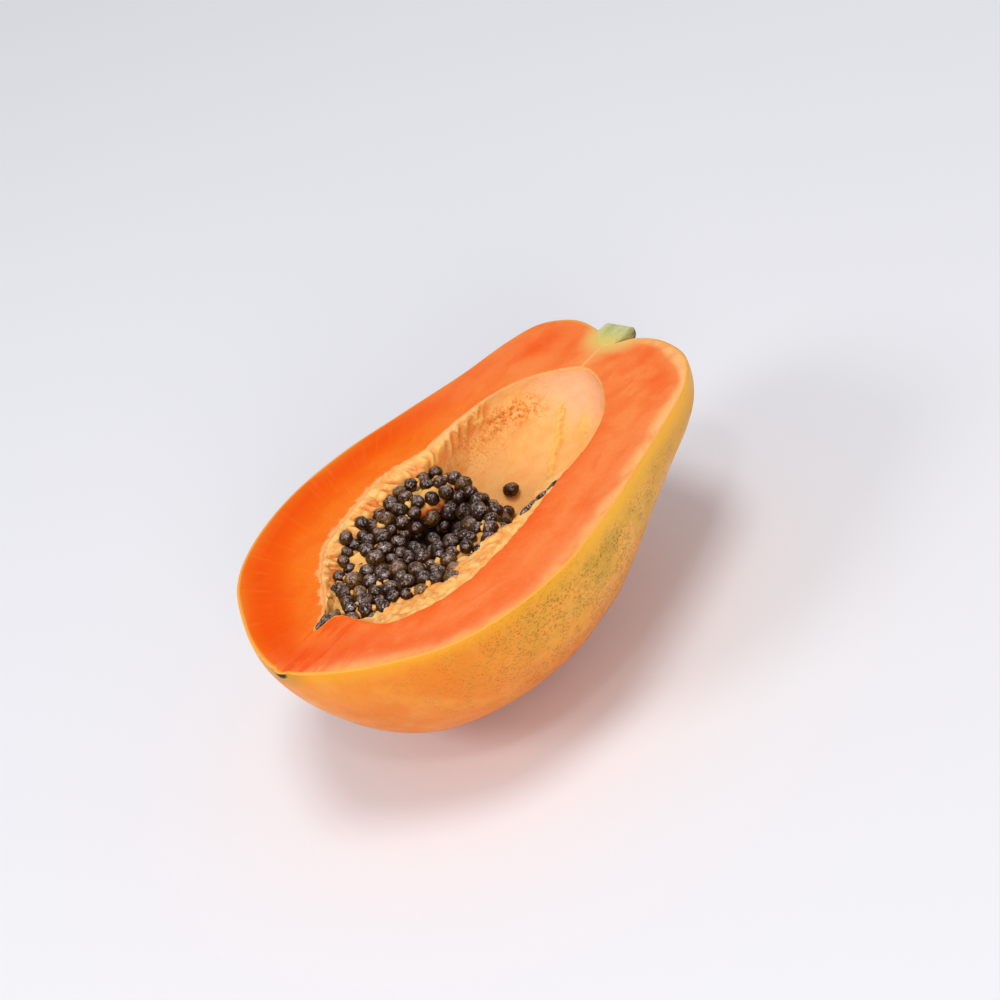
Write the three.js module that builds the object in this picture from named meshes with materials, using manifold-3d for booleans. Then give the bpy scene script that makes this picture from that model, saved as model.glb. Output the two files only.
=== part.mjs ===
// A ripe papaya cut in half lengthwise, lying on its rind with the cut face up.
//
// The grown pieces: the fruit half (rind, flesh and seed cavity in one solid), the heap of seeds
// in its cavity, two seeds that have rolled out of it, and the stump of the stalk, sliced by the
// same cut. Millimetres, +Z up, +X from the blossom tip to the stalk. While it is built, x = 0
// is the blossom tip and z = 0 the cut face; the group then stands the half on its flat spot,
// with the origin under the middle of its box.
import * as THREE from 'three';
import { mergeVertices } from 'three/addons/utils/BufferGeometryUtils.js';
import Module from 'manifold-3d';

// ---- Driving dimensions ------------------------------------------------------------------

// Rim of the rind on the cut face, from the blossom tip round to the hollow where the stalk
// grows: x and half width on the +Y side, then on the -Y side.
const RIM = [
  [0, 0, 0, 0], [3, 13, 3, 13], [13, 31, 13, 32.5], [31, 53, 31, 53.5], [53, 65.5, 53, 65],
  [81, 71, 81, 70], [110, 68.5, 110, 67.5], [139, 60, 139, 61.5], [167, 51.3, 167, 55.3],
  [190, 46.2, 187, 49], [205, 39.5, 201, 38.5], [211, 26, 207.5, 23], [208, 12, 206.5, 10],
  [200, 0, 200, 0],
];
const BULB_DEPTH = 1.05; // depth under the cut face over half width, at the seed end
const NECK_DEPTH = 0.78; // the same at the stalk end, where the fruit bends up
const BEND = [112, 188]; // x over which one gives way to the other
const BELLY = { extra: 0.07, at: 116, reach: 33 }; // fuller underside before the bend
const LOBES = 5; // soft ribs along the rind
const LOBE_HEIGHT = [0.013, 0.024]; // of the radius, on the bulb and on the neck
const LOBE_GROWS = [100, 180]; // x over which one gives way to the other
const LOBE_PHASE = Math.PI / 10; // leaves the rim of the cut where RIM puts it
const NIB = { height: 1.2, radius: 3.5 }; // dry flower scar at the blossom tip
const REST_DEPTH = 1.0; // how far the flat spot is worn into the lowest rind

// Rim of the seed cavity on the cut face, laid out like RIM.
const CAVITY_RIM = [
  [22, 0, 22, 0], [25.5, 1.9, 26, 1], [32, 4.6, 32, 3], [38, 11.6, 33.5, 21.3],
  [47, 21.8, 41.5, 28.9], [61, 32.3, 58, 36.6], [80, 37, 80, 38.8], [100, 38.5, 100, 37.6],
  [112, 36, 112, 36.2], [120, 33.6, 120, 35.2], [140, 32.3, 140, 33.8], [158, 28.5, 158, 28.7],
  [170, 21.5, 170, 20.5], [179, 11.5, 179, 11], [183.5, 0, 183.5, 0],
];
const CAVITY_DEPTH = 38; // at its deepest
const CAVITY_DEEP_AT = 92; // x there
// How it shallows towards each end: a wedge at the tip, round at the neck.
const CAVITY_ENDS = { tip: [1.6, 0.9], neck: [2.2, 0.5] };
// Crinkles of the lining under the rim: height, length of one, and the stretch that has them.
const PLEAT = { height: 0.9, pitch: 7.4, from: 30, to: 124, reach: 13 };
// The cavity leans to +Y at its tip, by this much, and is straight from there on.
const LEAN = { by: 2.5, to: 46 };
// Soft pulp inside the rims, which falls gently inwards and ends in an edge: a wide shelf on the
// -Y side, narrow past the heap, and a bank on the +Y side. `grows` and `ends` are the stretches
// of x over which a width comes and goes, and `most` and `edgeMost` the most that it and its edge
// take of the cavity's half width. Each of `lobes` adds to the shelf: how much, at which x, and
// its reach.
const SHELF = {
  wide: 12, narrow: 5.5, grows: [20, 42], narrows: [84, 98], ends: [120, 132], fall: 0.26,
  edge: 6, most: 0.6, edgeMost: 0.3, lobes: [[8, 48, 10], [-3, 64, 4], [6, 75.5, 3.5]],
};
const BANK = { wide: 5.5, grows: [32, 48], ends: [102, 152], fall: 0.55, edge: 5, most: 0.3 };

// Heap of seeds: how far its top lies under the cut face, the lower far side, the dip in its
// middle, and the crest past which it falls away to the cavity floor. The crest slants, bulges in
// one place and stops short of `crestMost`.
const HEAP = {
  from: 23, to: 131, drop: 4, farDrop: 2, dip: 15, dipAt: [92, 5], dipReach: [17, 11],
  crest: 109, crestSkew: 0.5, crestMost: 116.5, bulge: 4.5, bulgeAt: -4, bulgeReach: 10, slope: 5,
};
// Places where no seed lies and the pulp shows: x, y and radius.
const BARE = [[104.5, 21, 4.6], [66.5, 19.5, 4.6], [57, 12, 2.8], [75, 13, 2.6], [38, 5.5, 2.5]];
const SEED_RADIUS = 2.95;
const SEED_SPREAD = 0.2; // how much seeds differ in size
const SEED_PITCH = 6.2;
const SEED_JITTER = 4.2; // how widely a seed strays from its place in the lattice
const SEED_HEAVE = 2.4; // and up or down
const SEED_SHAPE = [1.12, 1, 0.95]; // a little longer than thick
const SEED_SWELL = 1.06; // makes up for the flat faces of its solid
const SETTLING = { rounds: 12, push: 0.25 };
const CORE_SINK = 1.5; // the solid core stops this far under the middles of the seeds
const CORE_FALL = 2.2; // how steeply it falls away to the bank
const FAR_MARGIN = { tip: 1, bulb: 4.9, grows: [34, 54] }; // pulp left bare inside the +Y rim
const HEAP_CLEARANCE = 1.3; // between the heap and the cavity wall, under the pleats
// Seeds stuck to the bank beside the heap, and how much of their radius stands out of it.
const BANK_SEEDS = [[78.7, 30.6], [68.6, 29.4], [63.6, 25], [108, 30]];
const BANK_SEED_PROUD = 0.55;
// Two seeds that have rolled onto the floor beyond the foot of the heap.
const LOOSE_SEEDS = [[128, 8], [137.6, 12.4]];

// Stump of the stalk.
const STUMP = { x: 198.4, end: 212, radius: 7.6, flare: 8.3, flareEnd: 206.2, edge: 1.3, shift: 1.4 };
const GAP = 0.3; // between pieces that lie against each other

// How finely the surfaces are faceted.
const ALONG = 80;
const ROUND = 22;
const ACROSS = 3;
const CAVITY_ROUND = 16;

// ---- Curves ------------------------------------------------------------------------------

const clamp = THREE.MathUtils.clamp;
const smoothstep = THREE.MathUtils.smoothstep;

// A smooth curve through rows of places and half widths, in turn, read at t from 0 to 1. Past
// its ends it goes on as its own mirror image, so that it closes round.
function along(rows, t) {
  const last = rows.length - 1;
  const place = clamp(t * last, 0, last - 1e-9);
  const i = Math.floor(place);
  const q = place - i;
  const mirrored = (row) => row.map((value, k) => (k % 2 === 0 ? value : -value));
  const before = i > 0 ? rows[i - 1] : mirrored(rows[1]);
  const after = i + 2 <= last ? rows[i + 2] : mirrored(rows[last - 1]);
  return rows[i].map((value, k) => {
    const next = rows[i + 1][k];
    const linear = next - before[k];
    const square = 2 * before[k] - 5 * value + 4 * next - after[k];
    const cube = 3 * value - before[k] - 3 * next + after[k];
    return 0.5 * (2 * value + linear * q + square * q * q + cube * q * q * q);
  });
}

// A draw from 0 to 1: the same number always gives the same draw.
function draw(n) {
  const value = Math.sin(n * 127.1) * 43758.5453;
  return value - Math.floor(value);
}

// A point of the rind: t along the fruit, turn from 0 (+Y rim) round underneath to PI (-Y rim).
function rindPoint(t, turn) {
  const [leftX, leftWidth, rightX, rightWidth] = along(RIM, t);
  const cosine = Math.cos(turn);
  const side = smoothstep((1 + cosine) / 2, 0, 1);
  const width = THREE.MathUtils.lerp(rightWidth, leftWidth, side);
  const bare = THREE.MathUtils.lerp(rightX, leftX, side);
  const bend = smoothstep(bare, ...BEND);
  const belly = BELLY.extra * Math.exp(-(((bare - BELLY.at) / BELLY.reach) ** 2));
  const depth = width * (THREE.MathUtils.lerp(BULB_DEPTH, NECK_DEPTH, bend) + belly);
  const height = THREE.MathUtils.lerp(...LOBE_HEIGHT, smoothstep(bare, ...LOBE_GROWS));
  const lobe = 1 + height * Math.cos(LOBES * (turn - LOBE_PHASE));
  const nib = bare < NIB.height + NIB.radius ? Math.max(0, 1 - (width / NIB.radius) ** 2) : 0;
  return [bare - NIB.height * nib, width * lobe * cosine, -depth * lobe * Math.sin(turn)];
}

// How far the cavity reaches down under the cut face, along its length.
function cavityDepth(x) {
  const [start, end] = [CAVITY_RIM[0][0], CAVITY_RIM.at(-1)[0]];
  const atTip = x < CAVITY_DEEP_AT;
  const reach = atTip ? CAVITY_DEEP_AT - start : end - CAVITY_DEEP_AT;
  const off = clamp(Math.abs(x - CAVITY_DEEP_AT) / reach, 0, 1);
  const [sharp, round] = atTip ? CAVITY_ENDS.tip : CAVITY_ENDS.neck;
  return CAVITY_DEPTH * (1 - off ** sharp) ** round;
}

// Width of the pulp shelf, in from the -Y rim of a cavity `width` wide there.
function shelfWidth(x, width) {
  const { wide, narrow, grows, narrows, ends, most, lobes } = SHELF;
  const lobed = lobes.reduce((sum, [by, at, reach]) => sum + by * Math.exp(-(((x - at) / reach) ** 2)), 0);
  const grown = (wide + lobed) * smoothstep(x, ...grows) - (wide - narrow) * smoothstep(x, ...narrows);
  return Math.min(grown, most * width) * (1 - smoothstep(x, ...ends));
}

// Width of the pulp bank, in from the +Y rim.
function bankWidth(x, width) {
  const there = smoothstep(x, ...BANK.grows) * (1 - smoothstep(x, ...BANK.ends));
  return Math.min(BANK.wide, BANK.most * width) * there;
}

// Depth of the cavity wall under the cut face, with its shelf and bank.
function wallDepth(x, y, width) {
  const bare = cavityDepth(x) * Math.sqrt(Math.max(0, 1 - (y / width) ** 2));
  const inward = width - Math.abs(y);
  const pulp = y < 0 ? SHELF : BANK;
  const wide = y < 0 ? shelfWidth(x, width) : bankWidth(x, width);
  const edge = Math.min(pulp.edge, SHELF.edgeMost * width, 2 * wide + 0.01);
  const onPulp = 1 - smoothstep(inward, wide, wide + edge);
  return bare - Math.max(0, bare - pulp.fall * inward) * onPulp;
}

// How far the middle of the cavity lies to +Y.
function lean(x) {
  return LEAN.by * (1 - smoothstep(x, CAVITY_RIM[0][0], LEAN.to));
}

// A point of the cavity wall, `inset` inside it, with the lining's pleats where asked for.
function cavityPoint(t, turn, inset = 0, pleated = true) {
  const [leftX, leftWidth, rightX, rightWidth] = along(CAVITY_RIM, t);
  const cosine = Math.cos(turn);
  const side = smoothstep((1 + cosine) / 2, 0, 1);
  const width = THREE.MathUtils.lerp(rightWidth, leftWidth, side);
  const x = THREE.MathUtils.lerp(rightX, leftX, side);
  const under = wallDepth(x, width * cosine, Math.max(width, 0.01)) * (Math.sin(turn) > 1e-9 ? 1 : 0);
  const band = smoothstep(x, PLEAT.from, PLEAT.from + 12) * (1 - smoothstep(x, PLEAT.to - 14, PLEAT.to));
  const high = Math.exp(-(((under - 4) / PLEAT.reach) ** 2)) * smoothstep(under, 0, 3);
  const ripple = 0.5 + 0.5 * Math.sin((2 * Math.PI * x) / PLEAT.pitch + 1.3 * Math.sin(x / 9) + under / 5);
  const raised = pleated ? PLEAT.height * ripple * band * high : 0;
  const shrink = Math.max(0, 1 - (inset + raised) / Math.max(width, inset + raised + 0.01));
  return [x, width * shrink * cosine + lean(x), -Math.max(0, under - (inset + raised) * Math.sin(turn))];
}

// Half width of the cavity on the cut face, on the side where y is, from its middle. The place
// along CAVITY_RIM that has this x on that side is found by halving.
function cavityWidth(x, y) {
  const side = y > 0 ? 0 : 2;
  let [low, high] = [0, 1];
  for (let step = 0; step < 30; step++) {
    const middle = (low + high) / 2;
    if (along(CAVITY_RIM, middle)[side] < x) low = middle;
    else high = middle;
  }
  return along(CAVITY_RIM, low)[side + 1];
}

// Top of the heap of seeds, as a height.
function heapTop(x, y) {
  const { drop, farDrop, dip, dipAt, dipReach, crest, crestSkew, crestMost, slope } = HEAP;
  const far = farDrop * smoothstep(x, 58, 84) * smoothstep(y / cavityWidth(x, y), 0.3, 1);
  const hollow = dip * Math.exp(-(((x - dipAt[0]) / dipReach[0]) ** 2) - ((y - dipAt[1]) / dipReach[1]) ** 2);
  const bulge = HEAP.bulge * Math.exp(-(((y - HEAP.bulgeAt) / HEAP.bulgeReach) ** 2));
  const past = Math.max(0, x - Math.min(crest + crestSkew * y + bulge, crestMost));
  return -drop - far - hollow - slope * past;
}

// ---- Solids ------------------------------------------------------------------------------

const wasm = await Module();
wasm.setup();

function solidOf(geometry) {
  geometry.deleteAttribute('normal');
  geometry.deleteAttribute('uv');
  const merged = mergeVertices(geometry, 1e-4);
  return new wasm.Manifold(new wasm.Mesh({
    numProp: 3,
    vertProperties: new Float32Array(merged.attributes.position.array),
    triVerts: new Uint32Array(merged.index.array),
  }));
}

function meshOf(name, solid, material) {
  const { vertProperties, triVerts } = solid.getMesh();
  const geometry = new THREE.BufferGeometry();
  geometry.setAttribute('position', new THREE.BufferAttribute(new Float32Array(vertProperties), 3));
  geometry.setIndex([...triVerts]);
  const mesh = new THREE.Mesh(geometry, material);
  mesh.name = name;
  return mesh;
}

// Rows of points joined into a skin. Each row has as many points as the next; neighbours that
// fall together at a pole are merged afterwards, and triangles that lose an edge dropped.
function skin(rows, flip = false) {
  const positions = rows.flat(2);
  const wide = rows[0].length;
  const index = [];
  for (let i = 0; i + 1 < rows.length; i++) {
    for (let j = 0; j + 1 < wide; j++) {
      const [a, b, c, d] = [i * wide + j, i * wide + j + 1, (i + 1) * wide + j + 1, (i + 1) * wide + j];
      index.push(...(flip ? [a, c, b, a, d, c] : [a, b, c, a, c, d]));
    }
  }
  return { positions, index };
}

function joined(skins) {
  const positions = [];
  const index = [];
  for (const part of skins) {
    const first = positions.length / 3;
    positions.push(...part.positions);
    index.push(...part.index.map((corner) => corner + first));
  }
  const geometry = new THREE.BufferGeometry();
  geometry.setAttribute('position', new THREE.BufferAttribute(new Float32Array(positions), 3));
  geometry.setIndex(index);
  const merged = mergeVertices(geometry, 1e-4);
  const corners = merged.index.array;
  const kept = [];
  for (let i = 0; i < corners.length; i += 3) {
    const [a, b, c] = corners.slice(i, i + 3);
    if (a !== b && b !== c && c !== a) kept.push(a, b, c);
  }
  merged.setIndex(kept);
  return solidOf(merged);
}

const spread = (count) => Array.from({ length: count + 1 }, (_, i) => i / count);
// Stations crowd towards both ends, where the fruit turns in most.
const crowd = (t) => t - 0.09 * Math.sin(2 * Math.PI * t);

// The half fruit, its cavity wall `inset` further in than it really is.
function fruitBody(inset = 0) {
  const stations = spread(ALONG).map(crowd);
  const turns = spread(ROUND).map((q) => Math.PI * q);
  const cavityTurns = spread(CAVITY_ROUND).map((q) => Math.PI * q);
  const rind = stations.map((t) => turns.map((turn) => rindPoint(t, turn)));
  const cavity = stations.map((t) => cavityTurns.map((turn) => cavityPoint(t, turn, inset)));
  // The cut face runs from the rind's rim to the cavity's, once down each side.
  const face = [0, Math.PI].map((turn) => stations.map((t) => {
    const outer = rindPoint(t, turn);
    const inner = cavityPoint(t, turn, inset);
    return spread(ACROSS).map((q) => outer.map((value, k) => (k === 2 ? 0 : value + (inner[k] - value) * q)));
  }));
  return joined([skin(rind, true), skin(cavity), skin(face[0]), skin(face[1], true)]);
}

function box(low, high) {
  const size = high.map((value, k) => value - low[k]);
  const geometry = new THREE.BoxGeometry(...size);
  geometry.translate(...low.map((value, k) => value + size[k] / 2));
  return solidOf(geometry);
}

// The stump, swelling where it grows from the fruit, as a solid of revolution cut at z = 0.
function stumpBody(extra) {
  const { x, end, radius, flare, flareEnd, edge, shift } = STUMP;
  const profile = [
    [0, x - extra], [flare * 0.4, x + 1.6 - extra], [flare * 0.8, flareEnd - 2.4], [flare, flareEnd],
    [radius, flareEnd + 2], [radius, end - edge],
    [radius - edge * 0.3, end - edge * 0.3], [radius - edge, end], [0, end],
  ].map(([out, place]) => new THREE.Vector2(out > 0 ? out + extra : 0, place));
  const lathe = new THREE.LatheGeometry(profile, 28);
  lathe.rotateZ(-Math.PI / 2);
  lathe.scale(1, 1, 0.92);
  lathe.translate(0, shift, 0);
  const whole = solidOf(lathe);
  return extra > 0 ? whole : whole.intersect(box([x - 5, -20, -20], [end + 5, 20, 0]));
}

// ---- Seeds -------------------------------------------------------------------------------

// The farthest from the middle of the cavity that the middle of a seed may lie.
function farthest({ x, y, radius }) {
  const width = cavityWidth(x, y);
  if (y > 0) return width - radius - farMargin(x);
  return width - Math.max(radius + HEAP_CLEARANCE, shelfWidth(x, width) + 1);
}

// Seeds lie in a jittered lattice over the heap, closer in plan where it is steep, and settle:
// each is pushed out of its neighbours and back to the top of the heap. Those a little outside
// it are drawn in to its edge. Until the end, y is counted from the middle of the cavity.
function seedPlaces() {
  const seeds = [];
  const drawIn = (seed) => {
    const most = Math.max(0, farthest(seed));
    seed.y = clamp(seed.y, -most, most);
  };
  const add = (x, y, n) => {
    const seed = { x, y, radius: SEED_RADIUS * (1 + SEED_SPREAD * (2 * draw(n + 0.6) - 1)), n };
    const most = farthest(seed);
    if (most < 0 || Math.abs(y) > most + SEED_PITCH / 2) return;
    drawIn(seed);
    const top = heapTop(x, seed.y);
    if (wallDepth(x, seed.y, cavityWidth(x, seed.y)) < 1 - top) return;
    if (BARE.some(([bareX, bareY, reach]) => Math.hypot(x - bareX, seed.y - bareY) < reach)) return;
    seeds.push(seed);
  };
  let n = 0;
  const rowStep = SEED_PITCH * Math.sqrt(3) / 2;
  for (let row = 0; row * rowStep < 80; row++) {
    const y = row * rowStep - 39;
    let x = HEAP.from + (row % 2) * SEED_PITCH / 2;
    while (x < HEAP.to) {
      n += 1;
      add(x + (draw(n) - 0.5) * SEED_JITTER, y + (draw(n + 0.3) - 0.5) * SEED_JITTER, n);
      const steep = heapTop(x, y) - heapTop(x + 1, y);
      x += SEED_PITCH / Math.hypot(1, steep);
    }
  }
  const settle = (seed) => {
    seed.z = heapTop(seed.x, seed.y) + SEED_HEAVE * (draw(seed.n + 0.8) - 0.5);
  };
  for (let round = 0; round < SETTLING.rounds; round++) {
    seeds.forEach(settle);
    for (const a of seeds) {
      for (const b of seeds) {
        const [dx, dy, dz] = [b.x - a.x, b.y - a.y, b.z - a.z];
        const apart = Math.hypot(dx, dy, dz);
        const wanted = a.radius + b.radius;
        if (a === b || apart > wanted) continue;
        const push = (SETTLING.push * (wanted - apart)) / apart;
        a.x -= dx * push;
        a.y -= dy * push;
        b.x += dx * push;
        b.y += dy * push;
      }
    }
    seeds.forEach(drawIn);
  }
  seeds.forEach(settle);
  for (const [x, y] of BANK_SEEDS) {
    n += 1;
    const z = BANK_SEED_PROUD * SEED_RADIUS - wallDepth(x, y, cavityWidth(x, y));
    seeds.push({ x, y, z, radius: SEED_RADIUS, n });
  }
  for (const seed of seeds) seed.y += lean(seed.x);
  return seeds;
}

// Bare pulp between the seeds and the +Y rim.
function farMargin(x) {
  return THREE.MathUtils.lerp(FAR_MARGIN.tip, FAR_MARGIN.bulb, smoothstep(x, ...FAR_MARGIN.grows));
}

function seedSolid({ x, y, z, radius, n }) {
  const geometry = new THREE.IcosahedronGeometry(radius * SEED_SWELL);
  geometry.scale(...SEED_SHAPE);
  geometry.rotateX(2 * Math.PI * draw(n + 1.1));
  geometry.rotateZ(2 * Math.PI * draw(n + 1.4));
  geometry.translate(x, y, z);
  return solidOf(geometry);
}

// Everything inside the cavity that a heap can fill, clear of the wall by HEAP_CLEARANCE.
function cavityRoom() {
  const stations = spread(36).map((t) => 0.03 + 0.94 * t);
  const turns = spread(20).map((q) => Math.PI * q);
  const wall = stations.map((t) => turns.map((turn) => cavityPoint(t, turn, HEAP_CLEARANCE, false)));
  const axis = wall.map((row) => [row[0][0], lean(row[0][0]), 0]);
  const lid = wall.map((row, i) => [row[0], axis[i], row.at(-1)]);
  const caps = [0, wall.length - 1].map((i) => [wall[i], wall[i].map(() => axis[i])]);
  return joined([skin(wall, true), skin(lid), skin(caps[0]), skin(caps[1], true)]);
}

// The heap's core: a block whose top follows the heap, a little under the seeds' middles.
function heapBlock() {
  const [low, high] = [[HEAP.from, -42, -CAVITY_DEPTH - 2], [HEAP.to, 42, 0]];
  const size = high.map((value, k) => value - low[k]);
  const geometry = new THREE.BoxGeometry(...size, 24, 14, 1);
  geometry.translate(...low.map((value, k) => value + size[k] / 2));
  const corners = geometry.attributes.position;
  for (let i = 0; i < corners.count; i++) {
    if (corners.getZ(i) < -1) continue;
    const x = corners.getX(i);
    const y = corners.getY(i) - lean(x);
    const atWall = y > 0 ? Math.max(0, farMargin(x) + SEED_RADIUS - cavityWidth(x, y) + y) : 0;
    corners.setZ(i, heapTop(x, y) - CORE_SINK - CORE_FALL * atWall);
  }
  return solidOf(geometry);
}

// The wall slices a few seeds at the edge; their loose scraps are left out.
function largest(solid) {
  return solid.decompose().reduce((best, body) => (body.volume() > best.volume() ? body : best));
}

function seedBody() {
  const heap = wasm.Manifold.union([heapBlock(), ...seedPlaces().map(seedSolid)]);
  return largest(heap.intersect(cavityRoom()).subtract(fruitBody(GAP)));
}

// A seed on the bare floor of the cavity, `n` its number.
function looseSeed([x, y], n) {
  const z = SEED_RADIUS - wallDepth(x, y, cavityWidth(x, y));
  return largest(seedSolid({ x, y, z, radius: SEED_RADIUS, n }).subtract(fruitBody(GAP)));
}

// ---- Materials and assembly --------------------------------------------------------------

const flesh = new THREE.MeshStandardMaterial({ color: 0xf2823c, roughness: 0.45, metalness: 0 });
const seedCoat = new THREE.MeshStandardMaterial({ color: 0x2b1910, roughness: 0.25, metalness: 0 });
const stalk = new THREE.MeshStandardMaterial({ color: 0xc3bf7c, roughness: 0.6, metalness: 0 });

const whole = fruitBody().subtract(stumpBody(GAP));
const lowest = whole.boundingBox().min[2];
const flatZ = lowest + REST_DEPTH;
const fruit = whole.subtract(box([-50, -100, lowest - 10], [260, 100, flatZ]));

const papaya = new THREE.Group();
papaya.add(
  meshOf('fruit', fruit, flesh),
  meshOf('seeds', seedBody(), seedCoat),
  ...LOOSE_SEEDS.map((place, i) => meshOf(`loose_seed_${i + 1}`, looseSeed(place, i + 1), seedCoat)),
  meshOf('stem_stub', stumpBody(0), stalk),
);
const extent = new THREE.Box3().setFromObject(papaya);
const middle = extent.getCenter(new THREE.Vector3());
papaya.position.set(-middle.x, -middle.y, -extent.min.z);

export default papaya;
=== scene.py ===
"""Looks of a papaya cut in half lengthwise, lying on its rind with the cut face up.

Shapes are worked out in millimetres in the fruit's own frame: x runs from the blossom tip to the
stalk, z = 0 is the cut face and the rind hangs below it. `TO_PART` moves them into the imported
part's frame, in metres.
"""
import math

import bmesh
import bpy
import numpy as np
from mathutils import Matrix, Vector, noise


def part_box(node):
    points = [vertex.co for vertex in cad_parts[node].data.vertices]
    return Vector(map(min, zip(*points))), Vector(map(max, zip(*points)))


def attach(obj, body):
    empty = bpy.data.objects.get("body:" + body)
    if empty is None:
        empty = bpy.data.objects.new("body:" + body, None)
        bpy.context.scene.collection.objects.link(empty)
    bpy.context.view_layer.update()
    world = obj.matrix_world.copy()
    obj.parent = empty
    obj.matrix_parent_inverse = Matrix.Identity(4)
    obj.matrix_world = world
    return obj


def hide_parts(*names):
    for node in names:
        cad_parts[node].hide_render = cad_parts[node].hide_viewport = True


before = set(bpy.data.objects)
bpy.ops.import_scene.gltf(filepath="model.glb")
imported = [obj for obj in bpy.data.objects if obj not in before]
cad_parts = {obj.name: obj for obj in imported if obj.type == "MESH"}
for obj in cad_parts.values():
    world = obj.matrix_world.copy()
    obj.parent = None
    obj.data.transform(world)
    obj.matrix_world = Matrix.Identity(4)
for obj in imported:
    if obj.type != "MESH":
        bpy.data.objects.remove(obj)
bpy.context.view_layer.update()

# ---- Form, in millimetres ----
# A pair of x says where something sets in and is full. A stretch is four values: where a
# feature begins, is full, wanes and ends.

# Rim of the rind on the cut face, from the blossom tip round to the hollow where the stalk
# grows: x and half width on the +Y side, then on the -Y side.
RIM = [
    [0, 0, 0, 0], [3, 13, 3, 13], [13, 31, 13, 32.5], [31, 53, 31, 53.5], [53, 65.5, 53, 65],
    [81, 71, 81, 70], [110, 68.5, 110, 67.5], [139, 60, 139, 61.5], [167, 51.3, 167, 55.3],
    [190, 46.2, 187, 49], [205, 39.5, 201, 38.5], [211, 26, 207.5, 23], [208, 12, 206.5, 10],
    [200, 0, 200, 0],
]
# Depth of the rind over its half width, which goes from the bulb's to the neck's over the bend.
BULB_DEPTH = 1.05
NECK_DEPTH = 0.78
BEND = (112, 188)
BELLY = {"extra": 0.07, "at": 116, "reach": 33}
LOBES = 5
LOBE_HEIGHTS = (0.013, 0.024)
LOBE_GROWS = (100, 180)
LOBE_PHASE = math.pi / 10
NIB = {"height": 1.2, "radius": 3.5}

# Rim of the seed cavity, laid out like RIM.
CAVITY_RIM = [
    [22, 0, 22, 0], [25.5, 1.9, 26, 1], [32, 4.6, 32, 3], [38, 11.6, 33.5, 21.3],
    [47, 21.8, 41.5, 28.9], [61, 32.3, 58, 36.6], [80, 37, 80, 38.8], [100, 38.5, 100, 37.6],
    [112, 36, 112, 36.2], [120, 33.6, 120, 35.2], [140, 32.3, 140, 33.8], [158, 28.5, 158, 28.7],
    [170, 21.5, 170, 20.5], [179, 11.5, 179, 11], [183.5, 0, 183.5, 0],
]
CAVITY_DEPTH = 38
CAVITY_DEEP_AT = 92
CAVITY_ENDS = {"tip": (1.6, 0.9), "neck": (2.2, 0.5)}
LEAN = {"by": 2.5, "to": 46}  # to +Y at the tip
# Soft pulp inside the rims: a shelf on the -Y side and a bank on the +Y side. Each of the
# shelf's lobes adds to its width: how much, at which x, and its reach.
SHELF = {
    "wide": 12, "narrow": 5.5, "grows": (20, 42), "narrows": (84, 98), "ends": (120, 132),
    "fall": 0.26, "edge": 6, "most": 0.6, "edge_most": 0.3,
    "lobes": [(8, 48, 10), (-3, 64, 4), (6, 75.5, 3.5)],
}
BANK = {"wide": 5.5, "along": (32, 48, 102, 152), "fall": 0.55, "edge": 5, "most": 0.3}

# Heap of seeds.
HEAP = {
    "from": 23, "to": 131, "side": -39, "wide": 80, "drop": 4.0, "far_drop": 2.0,
    "far_along": (58, 84), "far_across": (0.3, 1), "dip": 15, "dip_at": (92, 5),
    "dip_reach": (17, 11), "crest": 109, "crest_skew": 0.5, "crest_most": 116.5,
    "bulge": 4.5, "bulge_at": -4, "bulge_reach": 10, "slope": 5.0,
}
# Where the pulp shows among the seeds: x, y, radius and how pale it is.
BARE = [(104.5, 21, 4.6, 0.55), (66.5, 19.5, 4.6, 1.0), (57, 12, 2.8, 1.0), (75, 13, 2.6, 1.0),
        (38, 5.5, 2.5, 1.0)]
SEED_RADIUS = 2.95
SEED_SPREAD = 0.2
SEED_PITCH = 6.2
SEED_JITTER = 4.2
SEED_HEAVE = 2.4
SEED_SHAPE = (1.12, 1.0, 0.95)
SEED_ROOM = 1  # the least depth of the cavity under the top of the heap where a seed lies
SETTLING = {"rounds": 12, "push": 0.25}
FAR_MARGIN = {"tip": 1, "bulb": 4.9, "grows": (34, 54)}
HEAP_CLEARANCE = 1.3
SHELF_CLEARANCE = 1
BANK_SEEDS = [(78.7, 30.6), (68.6, 29.4), (63.6, 25.0), (108, 30)]
BANK_SEED_PROUD = 0.55
LOOSE_SEEDS = [(128, 8), (137.6, 12.4)]
LOOSE_DRAWS = 40  # the loose seeds' own draws are numbered from here

# What only the finished seeds have: a layer under the first, dimples and wrinkles.
UNDER_LAYER = {"lowered": 4.4, "pitch": 0.94, "draws": 900}
SEED_FINENESS = {"top": 3, "under": 2, "loose": 5}
SEED_DIMPLE = {"deep": 0.08, "size": 0.9}
SEED_WRINKLE = {"deep": 0.07, "size": 0.34, "narrow": 2.6, "wander": 0.3, "drawn": (0.55, 1, 1)}
LIGHT_WAY = Vector((0.05, -0.35, 0.93))  # the way towards the light that the painted reflection and glints on the seeds face
# Shrivelled seeds left in the wedge of the cavity's tip and on the -Y rim: x, y, z and radius.
TIP_SEEDS = [(25.6, 1.2, -0.9, 1.5), (28.6, 1.6, -1.9, 2.1), (32.2, 1.4, -2.6, 2.6)]
CUT_SEED = {"under": 1.95, "shape": (2.1, 0.8, 0.7), "turn": -0.1}  # small ones, sliced thin
RIM_SEEDS = [(104.0, -33.4, -1.0, 1.7), (107.6, -33.2, -1.1, 1.3), (111.9, -34.2, -1.0, 1.7),
             (116.2, -34.4, -1.1, 1.2), (119.6, -34.7, -1.0, 1.5)]
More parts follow.
